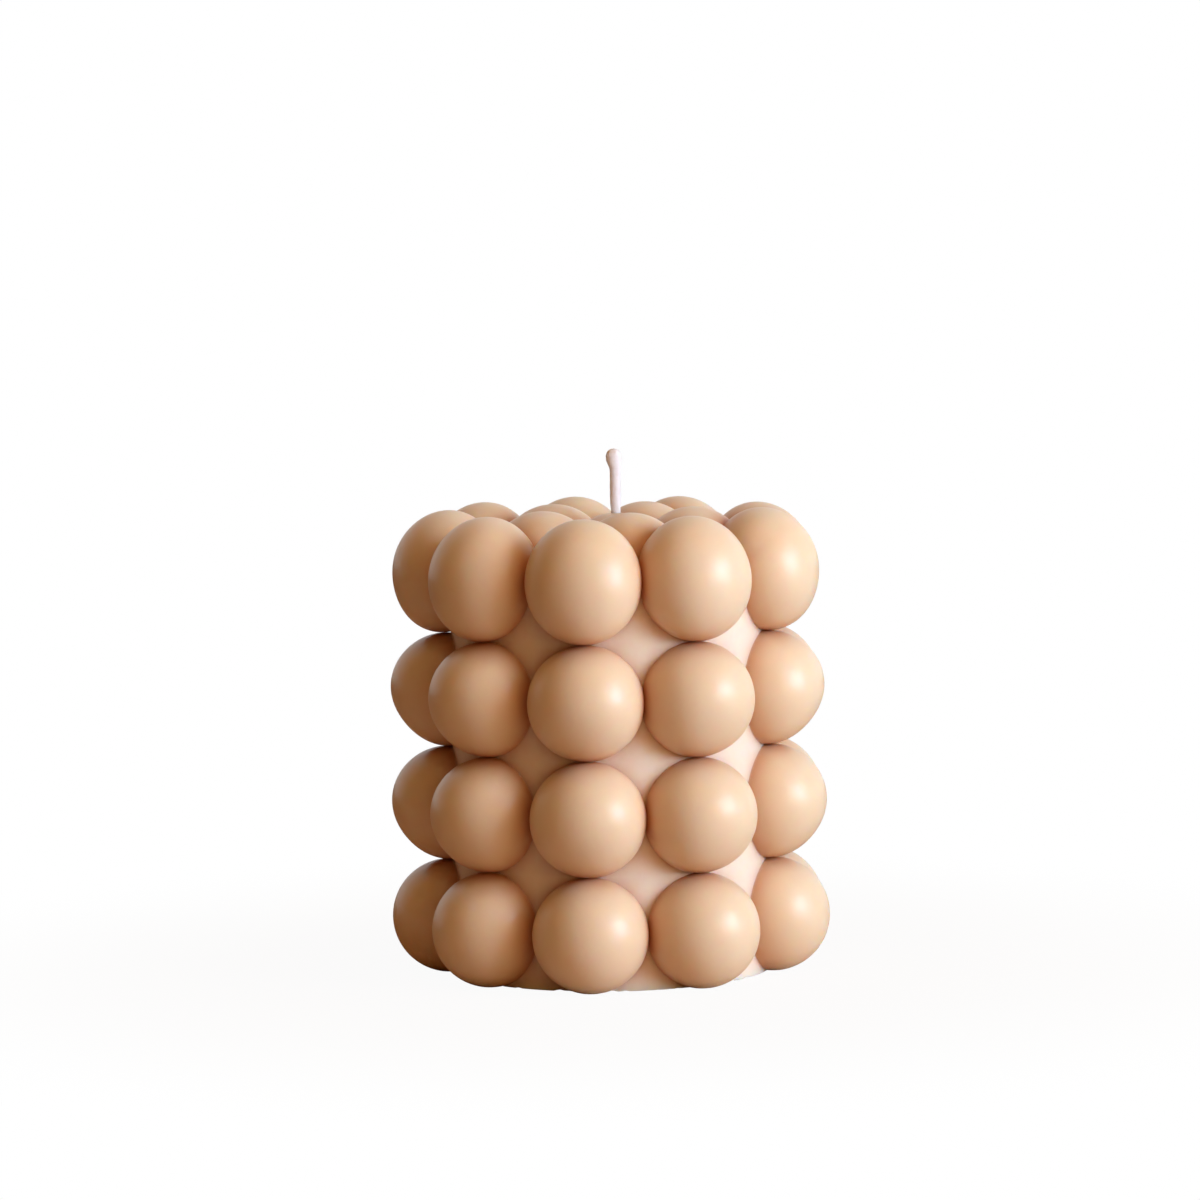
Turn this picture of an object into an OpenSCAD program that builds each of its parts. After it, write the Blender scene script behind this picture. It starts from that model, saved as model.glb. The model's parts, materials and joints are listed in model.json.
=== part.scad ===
// Round pillar candle cast as stacked rings of bubbles, with one cotton wick.
// The origin is on the flat base, on the axis of the rings. +Z is up, and the front faces -Y.

/* [Side bubbles] */
// Diameter of the round bubbles on the side
bubble_d = 20.4; // [18:0.1:22]
// Bubbles in each ring
columns = 9; // [7:1:11]
// Rings of bubbles, one above the other
rows = 4; // [2:1:6]
// How far neighbours in the lowest ring run into each other
side_merge = 0.4; // [0.3:0.1:1.5]
// How far each ring runs into the one below it
row_merge = 0.05; // [0.05:0.05:1]
// How much nearer to the axis each ring stands than the one below it
draft = 0.15; // [0:0.05:0.4]
// Turn of the rings about the axis, in degrees
ring_turn = -8; // [-20:0.1:20]
// How far below the middles of the lowest ring the base lies
foot_cut = 10; // [8:0.1:10.1]
// First of the two columns that stand closer together, counted to the right from the front
pair_first = 2; // [1:1:5]
// How far each of these two stands off its even place, in degrees
pair_turn = 6; // [0:0.5:8]

/* [Top ring] */
// Height of the bubbles in the top ring, which are egg-shaped
egg_h = 22; // [20.6:0.1:24]
// Their depth, from the outside towards the axis
egg_depth = 19.2; // [18:0.1:21]
// How far they lean in towards the axis, in degrees
egg_lean = 16; // [0:1:25]

/* [Crown] */
// Diameter of the bubbles in the circle on the top face
crown_d = 20; // [16:0.5:22]
// Bubbles in that circle
crown_count = 5; // [4:1:6]
// Radius of the circle through their middles
crown_ring_r = 14.35; // [12.5:0.05:17]
// Turn of the circle about its own middle, in degrees
crown_turn = 12; // [-30:1:30]
// How far the circle lies off the axis of the rings, to the right
crown_shift = 1.15; // [0:0.05:2]
// Diameter of the dome that the wick comes out of
dome_d = 20; // [14:0.5:22]
// How much lower the dome is than the bubbles around it
dome_drop = 1; // [0:0.1:3]

/* [Core] */
// How far the core's wall lies inside the middles of the side bubbles
core_inset = 0.8; // [0:0.1:2]
// How far the core's top lies above the middles of the top ring
core_rise = 1.2; // [0.5:0.1:4]

/* [Wick] */
// Diameter of the braided cord
wick_d = 2; // [1.4:0.1:3]
// Clearance between the wick and the wax, all round
wick_fit = 0.05; // [0.02:0.01:0.2]
// How far the wick lies off the axis of the rings, to the right
wick_shift = 1.75; // [1.65:0.05:3]
// How far the wick stands out of the wax
wick_stand = 11.5; // [6:0.5:16]
// How far the wick's lower end is trimmed back inside the base
wick_foot = 0.3; // [0.1:0.1:2]
// Width of the pinched tip
tip_w = 2.9; // [2:0.1:4]
// Thickness of the pinched tip, front to back
tip_t = 2.3; // [1.6:0.1:4]
// Height of the pinched tip
tip_h = 2.6; // [2:0.1:4]
// How far the tip leans to the left
tip_lean = 0.25; // [0:0.05:0.6]

/* [Hidden] */
$fn = 64;

wax_tan = [0.87, 0.73, 0.58];
wick_white = [0.95, 0.94, 0.91];

// Rings: the step from one to the next, and the middles of the top one
column_step = 360 / columns;
ring_r = (bubble_d - side_merge) / 2 / sin(column_step / 2);
row_step = bubble_d - row_merge;
egg_ring_r = ring_r - (rows - 1) * draft;
egg_z = foot_cut + (rows - 1) * row_step + (egg_h - bubble_d) / 2;

// Turn of each column, even but for the pair
function pair_off(i) = i == pair_first ? pair_turn : i == pair_first + 1 ? -pair_turn : 0;
column_turns = [for (i = [0:columns - 1]) ring_turn + i * column_step + pair_off(i)];
crown_turns = [for (i = [0:crown_count - 1]) crown_turn + i * 360 / crown_count];

// Levels: the tops of the eggs and of the crown lie in one plane
top_z = egg_z + norm([egg_h / 2 * cos(egg_lean), egg_depth / 2 * sin(egg_lean)]);
crown_z = top_z - crown_d / 2;
dome_top = top_z - dome_drop;
wick_top = dome_top + wick_stand;

// How far the channel runs past the wax at each end
past = 1;

// Places a child on a circle at each of the turns, counted from the front
module around(turns, radius) {
    for (turn = turns)
        rotate([0, 0, turn])
            translate([0, -radius, 0])
                children();
}

// One ring of round bubbles, counted from the lowest
module ring(row) {
    translate([0, 0, foot_cut + row * row_step])
        around(column_turns, ring_r - row * draft)
            sphere(d = bubble_d);
}

// The top ring: taller bubbles that lean in over the core, each a ball with its seam turned inwards
module egg_ring() {
    translate([0, 0, egg_z])
        around(column_turns, egg_ring_r)
            rotate([-egg_lean, 0, 0])
                scale([bubble_d, egg_depth, egg_h])
                    rotate([0, 0, 90])
                        sphere(d = 1);
}

// The circle of bubbles on the top face, with the dome in its middle
module crown() {
    translate([crown_shift, 0, crown_z])
        around(crown_turns, crown_ring_r)
            sphere(d = crown_d);
    translate([wick_shift, 0, dome_top - dome_d / 2])
        sphere(d = dome_d);
}

// The solid wax behind the bubbles, with the same draft as the rings
module core() {
    cylinder(r1 = ring_r - core_inset, r2 = egg_ring_r - core_inset, h = egg_z + core_rise);
}

// What the level cut takes off below the base
module below_base() {
    reach = ring_r + bubble_d;
    translate([-reach, -reach, -bubble_d])
        cube([2 * reach, 2 * reach, bubble_d]);
}

// The channel that the wax leaves around the wick
module wick_channel() {
    translate([wick_shift, 0, -past])
        cylinder(d = wick_d + 2 * wick_fit, h = dome_top + 2 * past);
}

module wax_body() {
    color(wax_tan)
        difference() {
            union() {
                core();
                for (row = [0:rows - 2])
                    ring(row);
                egg_ring();
                crown();
            }
            below_base();
            wick_channel();
        }
}

module wick() {
    color(wick_white) {
        translate([wick_shift, 0, wick_foot])
            cylinder(d = wick_d, h = wick_top - wick_foot - tip_h / 2);
        translate([wick_shift - tip_lean, 0, wick_top - tip_h / 2])
            scale([tip_w, tip_t, tip_h])
                sphere(d = 1);
    }
}

wax_body();
wick();
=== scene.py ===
import json
import math
import bmesh
import bpy
import numpy as np
from mathutils import Matrix, Vector

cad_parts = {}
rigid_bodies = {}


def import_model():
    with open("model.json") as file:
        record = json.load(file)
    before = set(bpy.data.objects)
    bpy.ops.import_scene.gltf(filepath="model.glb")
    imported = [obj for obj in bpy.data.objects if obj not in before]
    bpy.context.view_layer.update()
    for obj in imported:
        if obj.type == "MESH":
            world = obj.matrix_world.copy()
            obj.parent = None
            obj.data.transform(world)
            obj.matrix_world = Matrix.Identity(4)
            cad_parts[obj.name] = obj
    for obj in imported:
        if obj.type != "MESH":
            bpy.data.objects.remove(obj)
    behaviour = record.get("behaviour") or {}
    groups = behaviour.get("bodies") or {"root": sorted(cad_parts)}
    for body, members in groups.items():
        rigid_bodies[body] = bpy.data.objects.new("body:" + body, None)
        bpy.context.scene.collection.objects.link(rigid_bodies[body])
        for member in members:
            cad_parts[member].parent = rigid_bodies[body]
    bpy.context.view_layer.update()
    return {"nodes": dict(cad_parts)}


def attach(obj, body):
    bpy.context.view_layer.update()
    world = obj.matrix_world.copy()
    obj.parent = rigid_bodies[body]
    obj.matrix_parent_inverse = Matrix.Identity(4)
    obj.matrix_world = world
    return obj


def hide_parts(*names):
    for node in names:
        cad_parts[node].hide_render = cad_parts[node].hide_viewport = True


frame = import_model()
mm = 0.001
print("frame loaded with", sorted(frame["nodes"]))

# The camera stands where the photograph was taken, a little above the candle
view = {
    "distance": 971.2 * mm,
    "elevation": math.radians(6.29),
    "roll": math.radians(0.95),
    "aimHeight": 47.0 * mm,
    "lens": 162.76,
    "sensor": 36.0,
    "imageSide": 1200,
    "axisAcross": 609.1,  # pixel where the line of sight meets the picture
    "axisDown": 706.5,
}


def makeCamera(spec):
    data = bpy.data.cameras.new("camera")
    data.lens = spec["lens"]
    data.sensor_width = spec["sensor"]
    side = spec["imageSide"]
    data.shift_x = (side / 2 - spec["axisAcross"]) / side
    data.shift_y = (spec["axisDown"] - side / 2) / side
    data.clip_start = 0.01
    camera = bpy.data.objects.new("camera", data)
    bpy.context.scene.collection.objects.link(camera)
    back = Vector((0, -math.cos(spec["elevation"]), math.sin(spec["elevation"])))
    right = Vector((1, 0, 0))
    up = back.cross(right)
    cosRoll, sinRoll = math.cos(spec["roll"]), math.sin(spec["roll"])
    across = cosRoll * right - sinRoll * up
    upward = sinRoll * right + cosRoll * up
    place = Vector((0, 0, spec["aimHeight"])) + spec["distance"] * back
    matrix = Matrix((across, upward, back)).transposed().to_4x4()
    matrix.translation = place
    camera.matrix_world = matrix
    bpy.context.scene.camera = camera


makeCamera(view)
print("camera placed")


# One node's output. Sums and products of wires add Math nodes
class Wire:
    def __init__(self, board, socket):
        self.board = board
        self.socket = socket

    def math(self, kind, first, second):
        return self.board.add("ShaderNodeMath", {"operation": kind}, {0: first, 1: second})

    def __add__(self, other):
        return self.math("ADD", self, other)

    def __radd__(self, other):
        return self.math("ADD", other, self)

    def __sub__(self, other):
        return self.math("SUBTRACT", self, other)

    def __rsub__(self, other):
        return self.math("SUBTRACT", other, self)

    def __mul__(self, other):
        return self.math("MULTIPLY", self, other)

    def __rmul__(self, other):
        return self.math("MULTIPLY", other, self)


# The nodes of one material or world
class Board:
    def __init__(self, owner):
        owner.use_nodes = True
        self.tree = owner.node_tree
        self.tree.nodes.clear()

    def add(self, kind, settings=None, inputs=None, output=0):
        node = self.tree.nodes.new(kind)
        for name, value in (settings or {}).items():
            setattr(node, name, value)
        for name, value in (inputs or {}).items():
            if isinstance(value, Wire):
                self.tree.links.new(value.socket, node.inputs[name])
            else:
                node.inputs[name].default_value = value
        return Wire(self, node.outputs[output] if node.outputs else None)

    def blend(self, share, first, second):
        # sockets 0, 6 and 7 of a colour mix are its factor and its two colours, and output 2 the result
        settings = {"data_type": "RGBA", "blend_type": "MIX"}
        return self.add("ShaderNodeMix", settings, {0: share, 6: first, 7: second}, output=2)


# The wax: rings of bubbles on a core, in millimetres, as the solid has them
wax = {
    "bubbleD": 20.4,
    "columns": 9,
    "rows": 4,
    "sideMerge": 0.4,
    "rowMerge": 0.05,
    "draft": 0.15,
    "ringTurn": -8.0,
    "ringOff": (0.35, 0.1, -0.1, -0.25),  # small turn of each ring, in degrees, from the lowest up
    "footCut": 10,
    "pairFirst": 2,
    "pairTurn": 6,
    "eggH": 22,
    "eggDepth": 19.2,
    "eggLean": 16,
    "crownD": 20,
    "crownCount": 5,
    "crownRingR": 14.35,
    "crownTurn": 12,
    "crownShift": 1.15,
    "domeD": 20,
    "domeDrop": 1,
    "coreInset": 0.8,
    "coreRise": 1.2,
    "wickShift": 1.75,
    # height and radius of the wick's channel, which closes in on the cord at the dome
    "channel": [(-1, 1.05), (77, 1.05), (79.5, 0.98), (81.4, 0.88), (90, 0.88)],
    "channelAround": 48,
    "drawnIn": (0.0, 0.45, 0.6, 0.3),  # lower outside of the bubbles, ring by ring from the lowest
    "drawnOut": 0.77,  # the way that points most strongly: outwards
    "drawnDown": 0.64,  # and down
    "drawnPower": 5,
    # the cut below the base, and how ragged it leaves the trimmed edge
    "cutReach": 44,
    "cutInner": 26.4,
    "cutStep": 0.5,
    "cutDepth": 14,
    "cutAround": 480,
    "baseWave": 0.3,
    "waveFrom": 27,
    "waveOver": 1.5,
    # how fine the mesh is
    "ballDetail": 5,
    "coreLevels": 70,
    "coreAround": 150,
    "creaseWidth": 0.9,
    "creaseStep": 0.55,
    "shortestEdge": 0.001,
    # settling onto the skin: the probe's length, the least slope, the longest move and the base left alone
    "probe": 0.02,
    "leastSlope": 0.2,
    "mostMove": 0.3,
    "baseBand": 0.4,
    "baseFlat": 0.02,
    # how far the paler core and the painted shade in and near the creases reach
    "coreFade": 0.2,
    "creaseShadeFade": 1.5,
    "nearShadeFade": 3.2,
    "sharpFrom": math.radians(50),
}


# Bubbles as (middle, half sizes across, outwards and up, turn, lean), all in millimetres and radians
def listBubbles(spec):
    step = 2 * math.pi / spec["columns"]
    ringR = (spec["bubbleD"] - spec["sideMerge"]) / 2 / math.sin(step / 2)
    rowStep = spec["bubbleD"] - spec["rowMerge"]
    turns = []
    for i in range(spec["columns"]):
        off = {spec["pairFirst"]: spec["pairTurn"], spec["pairFirst"] + 1: -spec["pairTurn"]}.get(i, 0)
        turns.append(math.radians(spec["ringTurn"] + off) + i * step)
    top = spec["rows"] - 1
    eggZ = spec["footCut"] + top * rowStep + (spec["eggH"] - spec["bubbleD"]) / 2
    lean = math.radians(spec["eggLean"])
    topZ = eggZ + math.hypot(spec["eggH"] / 2 * math.cos(lean), spec["eggDepth"] / 2 * math.sin(lean))
    bubbles = []
    for row in range(spec["rows"]):
        radius = ringR - row * spec["draft"]
        for evenTurn in turns:
            turn = evenTurn + math.radians(spec["ringOff"][row])
            x, y = radius * math.sin(turn), -radius * math.cos(turn)
            if row < top:
                half = (spec["bubbleD"] / 2,) * 3
                bubbles.append(((x, y, spec["footCut"] + row * rowStep), half, turn, 0.0))
            else:
                half = (spec["bubbleD"] / 2, spec["eggDepth"] / 2, spec["eggH"] / 2)
                bubbles.append(((x, y, eggZ), half, turn, lean))
    for i in range(spec["crownCount"]):
        turn = math.radians(spec["crownTurn"]) + i * 2 * math.pi / spec["crownCount"]
        x = spec["crownShift"] + spec["crownRingR"] * math.sin(turn)
        y = -spec["crownRingR"] * math.cos(turn)
        bubbles.append(((x, y, topZ - spec["crownD"] / 2), (spec["crownD"] / 2,) * 3, 0.0, 0.0))
    domeTop = topZ - spec["domeDrop"]
    bubbles.append(((spec["wickShift"], 0, domeTop - spec["domeD"] / 2), (spec["domeD"] / 2,) * 3, 0.0, 0.0))
    core = {
        "low": ringR - spec["coreInset"],
        "high": ringR - top * spec["draft"] - spec["coreInset"],
        "height": eggZ + spec["coreRise"],
    }
    return bubbles, core


def drawnInOf(i, spec):
    row = i // spec["columns"]
    return spec["drawnIn"][row] if row < spec["rows"] else 0


# The share of the drawing in at each point: most on the outside, below the middle
def drawnShare(spec, inward, up, length):
    toward = np.clip((-inward * spec["drawnOut"] - up * spec["drawnDown"]) / length, 0, 1)
    return toward ** spec["drawnPower"]


# How far each point lies from a bubble's skin, below zero inside
def bubbleDistance(points, bubble, drawnIn, spec):
    middle, half, turn, lean = bubble
    rel = points - np.array(middle)
    cosTurn, sinTurn = math.cos(turn), math.sin(turn)
    across = rel[:, 0] * cosTurn + rel[:, 1] * sinTurn
    inward = -rel[:, 0] * sinTurn + rel[:, 1] * cosTurn
    up = rel[:, 2]
    if lean:
        inward, up = (
            inward * math.cos(lean) - up * math.sin(lean),
            inward * math.sin(lean) + up * math.cos(lean),
        )
    local = np.stack([across, inward, up], 1)
    size = np.array(half)
    near = np.linalg.norm(local / size, axis=1)
    slope = np.maximum(np.linalg.norm(local / size**2, axis=1), 1e-9)
    distance = near * (near - 1) / slope
    if drawnIn:
        length = np.maximum(np.linalg.norm(local, axis=1), 1e-9)
        distance = distance + drawnIn * drawnShare(spec, inward, up, length)
    return distance


# The nearest shape's distance from each point, the core's own, and how much farther off the next shape is
def skinDistance(points, spec, shapes):
    bubbles, core = shapes
    radius = np.hypot(points[:, 0], points[:, 1])
    wall = core["low"] + (core["high"] - core["low"]) * points[:, 2] / core["height"]
    coreDistance = np.maximum(radius - wall, points[:, 2] - core["height"])
    first = coreDistance.copy()
    second = np.full(len(points), np.inf)
    for i, bubble in enumerate(bubbles):
        distance = bubbleDistance(points, bubble, drawnInOf(i, spec), spec)
        second = np.minimum(second, np.maximum(first, distance))
        first = np.minimum(first, distance)
    return first, coreDistance, second - first


# Moves points onto the skin, except those at the cut base
def settle(points, spec, shapes):
    base = skinDistance(points, spec, shapes)[0]
    slope = np.zeros_like(points)
    for axis in range(3):
        moved = points.copy()
        moved[:, axis] += spec["probe"]
        slope[:, axis] = (skinDistance(moved, spec, shapes)[0] - base) / spec["probe"]
    steep = np.maximum((slope**2).sum(1), spec["leastSlope"])
    share = np.clip(base / steep, -spec["mostMove"], spec["mostMove"])
    share = share * (points[:, 2] > spec["baseBand"])
    return points - share[:, None] * slope


def readPoints(mesh):
    points = np.zeros(len(mesh.vertices) * 3)
    mesh.vertices.foreach_get("co", points)
    return points.reshape(-1, 3)


def writePoints(mesh, points):
    mesh.vertices.foreach_set("co", points.ravel().astype(np.float32))
    mesh.update()


# A closed skin through rings of points, from the lowest ring to the highest
def makeSkin(name, rings):
    levels, around = rings.shape[:2]
    index = np.arange(levels * around).reshape(levels, around)
    after = np.roll(index, -1, axis=1)
    quads = np.stack([index[:-1], after[:-1], after[1:], index[1:]], -1).reshape(-1, 4)
    ends = [index[0][::-1].tolist(), index[-1].tolist()]
    mesh = bpy.data.meshes.new(name)
    mesh.from_pydata(rings.reshape(-1, 3).tolist(), [], quads.tolist() + ends)
    piece = bpy.data.objects.new(name, mesh)
    bpy.context.scene.collection.objects.link(piece)
    return piece


def makeRings(radii, heights, around):
    angles = np.linspace(0, 2 * math.pi, around, endpoint=False)
    far, angle = np.meshgrid(radii, angles, indexing="ij")
    height = np.broadcast_to(np.array(heights)[:, None], far.shape)
    return np.stack([far * np.cos(angle), far * np.sin(angle), height], -1), far, angle


def placeBall(unit, bubble, drawnIn, spec):
    middle, half, turn, lean = bubble
    mesh = unit.copy()
    local = readPoints(mesh)
    drawn = drawnIn * drawnShare(spec, local[:, 1], local[:, 2], 1)
    local = local * (np.array(half) - drawn[:, None])
    turned = np.array(Matrix.Rotation(turn, 3, "Z") @ Matrix.Rotation(-lean, 3, "X"))
    writePoints(mesh, local @ turned.T + np.array(middle))
    return bpy.data.objects.new("ball", mesh)


# What is cut off below the base: level in the middle, and a little ragged under the rim
def makeCutter(spec):
    reach, step = spec["cutReach"], spec["cutStep"]
    radii = np.concatenate([[reach, reach], np.arange(reach - step, spec["cutInner"], -step)])
    heights = [-spec["cutDepth"]] + [0] * (len(radii) - 1)
    rings, far, angle = makeRings(radii, heights, spec["cutAround"])
    wave = np.sin(7 * angle + 1) + np.sin(19 * angle) + np.sin(43 * angle + 2) + 0.6 * np.sin(91 * angle)
    ragged = np.clip((far - spec["waveFrom"]) / spec["waveOver"], 0, 1)
    rise = spec["baseWave"] * ragged * np.maximum(wave, 0) / 3
    rise[0] = 0
    rings[..., 2] += rise
    return makeSkin("cutter", rings)


# Takes the cutter off a piece, after any join that waits on it, and keeps the result as its mesh
def cutWith(piece, cutter):
    cut = piece.modifiers.new("cut", "BOOLEAN")
    cut.operation, cut.solver, cut.object = "DIFFERENCE", "MANIFOLD", cutter
    bpy.context.view_layer.update()
    graph = bpy.context.evaluated_depsgraph_get()
    mesh = bpy.data.meshes.new_from_object(piece.evaluated_get(graph))
    # the join leaves an empty material slot
    mesh.materials.clear()
    piece.modifiers.clear()
    piece.data = mesh


def joinWax(spec, shapes):
    bubbles, core = shapes
    levels = np.linspace(0, core["height"], spec["coreLevels"])
    radii = core["low"] + (core["high"] - core["low"]) * levels / core["height"]
    piece = makeSkin("waxBody", makeRings(radii, levels, spec["coreAround"])[0])
    group = bpy.data.collections.new("balls")
    bpy.context.scene.collection.children.link(group)
    source = bmesh.new()
    bmesh.ops.create_icosphere(source, subdivisions=spec["ballDetail"], radius=1.0)
    unit = bpy.data.meshes.new("ball")
    source.to_mesh(unit)
    source.free()
    for i, bubble in enumerate(bubbles):
        group.objects.link(placeBall(unit, bubble, drawnInOf(i, spec), spec))
    cutter = makeCutter(spec)
    join = piece.modifiers.new("join", "BOOLEAN")
    join.operation, join.solver, join.operand_type, join.collection = "UNION", "MANIFOLD", "COLLECTION", group
    cutWith(piece, cutter)
    for helper in [*group.objects, cutter]:
        bpy.data.objects.remove(helper)
    bpy.data.collections.remove(group)
    return piece


# The channel that the wick fills, cut last so that settling the skin leaves its wall alone
def cutChannel(piece, spec):
    heights, radii = zip(*spec["channel"])
    rings = makeRings(radii, heights, spec["channelAround"])[0]
    rings[..., 0] += spec["wickShift"]
    cutter = makeSkin("channel", rings)
    cutWith(piece, cutter)
    bpy.data.objects.remove(cutter)


# Gives a mesh what was worked on, all of it in triangles
def keepWork(work, mesh):
    bmesh.ops.triangulate(work, faces=[face for face in work.faces if len(face.verts) > 3])
    work.to_mesh(mesh)
    work.free()


# Finer triangles along the creases
def refine(mesh, spec, shapes):
    crease = skinDistance(readPoints(mesh), spec, shapes)[2]
    near = (crease < spec["creaseWidth"]).tolist()
    work = bmesh.new()
    work.from_mesh(mesh)
    split = []
    for edge in work.edges:
        one, other = edge.verts
        if near[one.index] and near[other.index] and edge.calc_length() > spec["creaseStep"]:
            if max(one.co.z, other.co.z) > spec["baseFlat"]:
                split.append(edge)
    bmesh.ops.subdivide_edges(work, edges=split, cuts=1)
    keepWork(work, mesh)
    writePoints(mesh, settle(readPoints(mesh), spec, shapes))


# Collapses edges so short that the faces on them have no area
def closeSlivers(mesh, shortest):
    work = bmesh.new()
    work.from_mesh(mesh)
    bmesh.ops.dissolve_degenerate(work, dist=shortest, edges=work.edges)
    keepWork(work, mesh)


def makeWax(spec):
    shapes = listBubbles(spec)
    piece = joinWax(spec, shapes)
    print("wax joined,", len(piece.data.polygons), "faces")
    refine(piece.data, spec, shapes)
    cutChannel(piece, spec)
    mesh = piece.data
    closeSlivers(mesh, spec["shortestEdge"])
    points = readPoints(mesh)
    _, coreDistance, crease = skinDistance(points, spec, shapes)
    marks = {
        "onCore": np.exp(-np.maximum(coreDistance, 0) / spec["coreFade"]),
        # painted shade masks: the strongest right in the creases, and a wider one near them
        "creaseShade": np.exp(-crease / spec["creaseShadeFade"]),
        "nearCreaseShade": np.exp(-crease / spec["nearShadeFade"]),
    }
    for name, values in marks.items():
        layer = mesh.attributes.new(name, "FLOAT", "POINT")
        layer.data.foreach_set("value", values.astype(np.float32))
    writePoints(mesh, points * mm)
    mesh.shade_smooth()
    mesh.set_sharp_from_angle(angle=spec["sharpFrom"])
    print("wax finished,", len(mesh.polygons), "faces")
    return piece


# The finish of the wax: smooth and satin on the bubbles, paler and frosted on the core, with painted shade in
# and near the creases
waxLook = {
    "body": (0.77, 0.65, 0.45, 1),
    "warm": (0.73, 0.59, 0.37, 1),
    # painted shade: a deeper, redder brown on the bubbles near the creases
    "near": (0.62, 0.28, 0.12, 1),
    "frost": (0.79, 0.72, 0.59, 1),
    # painted shade: dark red-brown in the creases, where the bubbles meet each other and the core
    "crease": (0.52, 0.20, 0.09, 1),
    "nearShadeShare": 0.6,
    "creaseShadeShare": 0.75,
    "gloss": 0.5,
    "rough": 0.35,
    "frostRough": 0.62,
    "bend": 1.44,
    "through": 0.55,
    "throughDepth": 0.0035,
    "throughTint": (1.0, 0.4, 0.18),
    # clouds of about 2 cm and a grain of about 1 mm
    "cloudScale": 55.0,
    "fineScale": 900.0,
    "bumpStrength": 0.12,
    "bumpHeight": 0.0002,
}


def makeWaxLook(look):
    material = bpy.data.materials.new("wax")
    board = Board(material)
    spot = board.add("ShaderNodeTexCoord", output=3)
    cloud = board.add("ShaderNodeTexNoise", {}, {"Vector": spot, "Scale": look["cloudScale"], "Detail": 3.0})
    fine = board.add("ShaderNodeTexNoise", {}, {"Vector": spot, "Scale": look["fineScale"], "Detail": 4.0})
    core, crease, near = [
        board.add("ShaderNodeAttribute", {"attribute_name": name}, output=2)
        for name in ("onCore", "creaseShade", "nearCreaseShade")
    ]
    color = board.blend(cloud * 0.6, look["body"], look["warm"])
    # painted shade near the creases, on the bubbles only
    color = board.blend(near * (1 - core) * look["nearShadeShare"], color, look["near"])
    frost = core * (0.6 + cloud * 0.5) * (0.75 + fine * 0.5)
    color = board.blend(frost, color, look["frost"])
    # painted shade darkens the creases, a little less on the core
    color = board.blend(crease * (1 - core * 0.35) * look["creaseShadeShare"], color, look["crease"])
    rough = look["rough"] + core * (look["frostRough"] - look["rough"]) + (fine - 0.5) * 0.06
    bump = board.add("ShaderNodeBump", {}, {
        "Strength": look["bumpStrength"], "Distance": look["bumpHeight"], "Height": fine + cloud * 2,
    })
    shader = board.add("ShaderNodeBsdfPrincipled", {}, {
        "Base Color": color,
        "Roughness": rough,
        "Normal": bump,
        "Subsurface Weight": look["through"],
        "Subsurface Scale": look["throughDepth"],
        "Subsurface Radius": look["throughTint"],
        "Specular IOR Level": look["gloss"],
        "IOR": look["bend"],
    })
    board.add("ShaderNodeOutputMaterial", {}, {"Surface": shader})
    return material


waxPiece = makeWax(wax)
waxPiece.data.materials.append(makeWaxLook(waxLook))
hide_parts("wax_body")
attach(waxPiece, "root")
print("wax coloured")

# The wick: a braided cord with a pinched tip, in millimetres
wick = {
    "shift": wax["wickShift"],
    # height and half width of the cord where it changes
    "outline": [
        (0.35, 0.96), (78.0, 0.96), (81.4, 0.82), (82.6, 0.88), (84.0, 0.98), (86.4, 0.98), (88.6, 0.93),
        (89.6, 0.99), (90.4, 1.18), (91.2, 1.34), (91.9, 1.36), (92.5, 1.2), (92.9, 0.9), (93.12, 0.5),
        (93.2, 0.08),
    ],
    "tipFlat": 0.8,  # the tip's depth as a share of its width
    "tipFrom": 89.8,
    "tipOver": 1.2,
    "tipLean": -0.25,
    "strands": 4,
    "lay": 1.5,  # turns of a strand in 10 mm
    "strandRise": 0.035,
    "strandLow": 0.8,
    "strandEnd": 0.6,  # over which the braid fades out at the tip
    "around": 56,
    "hiddenTo": 78,  # the cord is coarser inside the wax
    "hiddenLevels": 60,
    "openLevels": 360,
}


def makeWick(spec):
    heights = np.array([h for h, _ in spec["outline"]])
    widths = np.array([w for _, w in spec["outline"]])
    hidden = np.linspace(heights[0], spec["hiddenTo"], spec["hiddenLevels"], endpoint=False)
    levels = np.concatenate([hidden, np.linspace(spec["hiddenTo"], heights[-1], spec["openLevels"])])
    angles = np.linspace(0, 2 * math.pi, spec["around"], endpoint=False)
    height, angle = np.meshgrid(levels, angles, indexing="ij")
    width = np.interp(height, heights, widths)
    pitch = spec["lay"] / 10 * 2 * math.pi
    one = np.abs(np.cos(spec["strands"] / 2 * (angle + pitch * height)))
    other = np.abs(np.cos(spec["strands"] / 2 * (angle - pitch * height)))
    fade = np.clip((heights[-1] - height) / spec["strandEnd"], 0, 1)
    braid = spec["strandRise"] * (np.maximum(one, other) - spec["strandLow"]) * fade
    tip = np.clip((height - spec["tipFrom"]) / spec["tipOver"], 0, 1)
    flat = 1 - tip * (1 - spec["tipFlat"])
    x = spec["shift"] + spec["tipLean"] * tip + (width + braid) * np.cos(angle)
    y = (width + braid) * flat * np.sin(angle)
    piece = makeSkin("wickCord", np.stack([x, y, height], -1) * mm)
    piece.data.shade_smooth()
    print("wick finished,", len(piece.data.polygons), "faces")
    return piece


wickLook = {
    "cotton": (0.90, 0.95, 0.95, 1),
    "shade": (0.80, 0.85, 0.85, 1),
    "rough": 0.75,
    "through": 1.0,
    "throughDepth": 0.004,
    "throughTint": (1.0, 1.0, 1.0),
    "cloudScale": 400.0,
    "fibreScale": 3500.0,
    "bumpStrength": 0.35,
    "bumpHeight": 0.00008,
}


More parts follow.
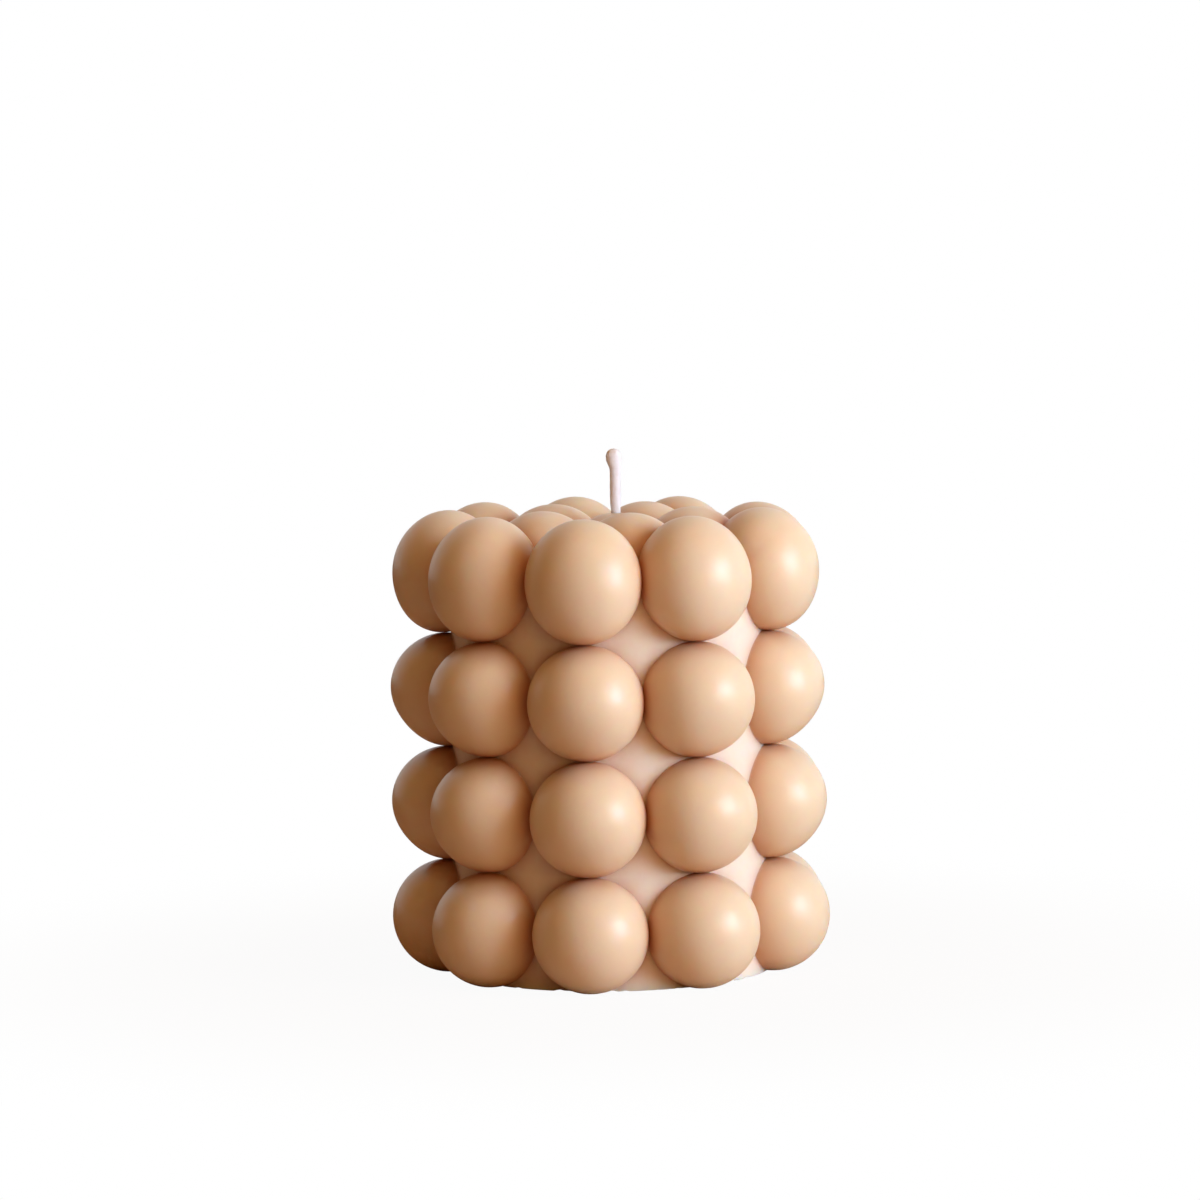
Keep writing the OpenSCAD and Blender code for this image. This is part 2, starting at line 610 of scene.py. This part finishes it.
def makeWickLook(look):
    material = bpy.data.materials.new("wick")
    board = Board(material)
    spot = board.add("ShaderNodeTexCoord", output=3)
    fibre = board.add("ShaderNodeTexNoise", {}, {"Vector": spot, "Scale": look["fibreScale"], "Detail": 5.0})
    cloud = board.add("ShaderNodeTexNoise", {}, {"Vector": spot, "Scale": look["cloudScale"], "Detail": 2.0})
    color = board.blend(cloud * 0.35 + fibre * 0.25, look["cotton"], look["shade"])
    bump = board.add("ShaderNodeBump", {}, {
        "Strength": look["bumpStrength"], "Distance": look["bumpHeight"], "Height": fibre,
    })
    shader = board.add("ShaderNodeBsdfPrincipled", {}, {
        "Base Color": color,
        "Roughness": look["rough"] + (fibre - 0.5) * 0.2,
        "Normal": bump,
        "Subsurface Weight": look["through"],
        "Subsurface Scale": look["throughDepth"],
        "Subsurface Radius": look["throughTint"],
    })
    board.add("ShaderNodeOutputMaterial", {}, {"Surface": shader})
    return material


wickPiece = makeWick(wick)
wickPiece.data.materials.append(makeWickLook(wickLook))
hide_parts("wick")
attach(wickPiece, "root")

# The floor is pale, and seen as white where no shadow falls
floor = {"side": 6.0, "color": (0.64, 0.46, 0.33, 1), "whiteShare": 0.95, "fadeFrom": 0.05, "fadeTo": 0.16}


def makeFloor(spec):
    sheet = bmesh.new()
    bmesh.ops.create_grid(sheet, x_segments=4, y_segments=4, size=spec["side"] / 2)
    mesh = bpy.data.meshes.new("floor")
    sheet.to_mesh(mesh)
    sheet.free()
    piece = bpy.data.objects.new("floor", mesh)
    bpy.context.scene.collection.objects.link(piece)
    material = bpy.data.materials.new("floor")
    board = Board(material)
    seen = board.add("ShaderNodeLightPath", output=0)
    spot = board.add("ShaderNodeTexCoord", output=3)
    away = board.add("ShaderNodeVectorMath", {"operation": "LENGTH"}, {0: spot}, output=1)
    fade = {"Value": away, "From Min": spec["fadeFrom"], "From Max": spec["fadeTo"]}
    fade.update({"To Min": spec["whiteShare"], "To Max": 1.0})
    share = board.add("ShaderNodeMapRange", {"interpolation_type": "SMOOTHSTEP"}, fade)
    matte = board.add("ShaderNodeBsdfDiffuse", {}, {"Color": spec["color"]})
    white = board.add("ShaderNodeEmission", {}, {"Color": (1, 1, 1, 1), "Strength": 1.0})
    mixed = board.add("ShaderNodeMixShader", {}, {0: seen * share, 1: matte, 2: white})
    board.add("ShaderNodeOutputMaterial", {}, {"Surface": mixed})
    piece.data.materials.append(material)


makeFloor(floor)

# Cool daylight from the right, soft and with a smaller bright part, and warm light from the room
lamps = {
    "key": {"turn": 60, "rise": 15, "side": 0.8, "power": 3.1, "color": (0.68, 0.87, 1.0)},
    "spot": {"turn": 61, "rise": 15, "side": 0.38, "power": 7.1, "color": (0.63, 0.75, 1.0)},
    "top": {"turn": 20, "rise": 72, "side": 0.8, "power": 2.9, "color": (1.0, 0.57, 0.27)},
    "front": {"turn": 30, "rise": 5, "side": 0.5, "power": 1.7, "color": (1.0, 0.5, 0.15)},
}
lampAway = 0.85
lampAim = Vector((0, 0, 45 * mm))


def makeLamp(name, spec):
    data = bpy.data.lights.new(name, "AREA")
    data.shape = "SQUARE"
    data.size = spec["side"]
    data.energy = spec["power"]
    data.color = spec["color"]
    lamp = bpy.data.objects.new(name, data)
    bpy.context.scene.collection.objects.link(lamp)
    turn, rise = math.radians(spec["turn"]), math.radians(spec["rise"])
    toward = Vector((math.sin(turn) * math.cos(rise), -math.cos(turn) * math.cos(rise), math.sin(rise)))
    lamp.location = lampAim + toward * lampAway
    lamp.rotation_euler = toward.to_track_quat("Z", "Y").to_euler()


for lampName, lampSpec in lamps.items():
    makeLamp(lampName, lampSpec)

# The white backdrop stands behind the candle, so mirrored rays see it there, and the dim room in front
room = {"seen": (1, 1, 1, 1), "light": (1.0, 0.42, 0.13, 1), "level": 0.105, "backFrom": 0.1, "backTo": 0.5}


def makeRoom(spec):
    world = bpy.data.worlds.new("room")
    bpy.context.scene.world = world
    board = Board(world)
    camera, glossy, clear = [board.add("ShaderNodeLightPath", output=i) for i in (0, 3, 6)]
    toward = board.add("ShaderNodeTexCoord", output=0)
    depth = board.add("ShaderNodeSeparateXYZ", {}, {0: toward}, output=1)
    behind = board.add("ShaderNodeMapRange", {"interpolation_type": "SMOOTHSTEP"}, {
        "Value": depth, "From Min": spec["backFrom"], "From Max": spec["backTo"],
    })
    shown = camera + (glossy + clear) * behind
    dim = board.add("ShaderNodeBackground", {}, {"Color": spec["light"], "Strength": spec["level"]})
    white = board.add("ShaderNodeBackground", {}, {"Color": spec["seen"], "Strength": 1.0})
    mixed = board.add("ShaderNodeMixShader", {}, {0: shown, 1: dim, 2: white})
    board.add("ShaderNodeOutputWorld", {}, {"Surface": mixed})


makeRoom(room)
bpy.context.scene.view_settings.view_transform = "Standard"
print("floor, lamps and room ready")
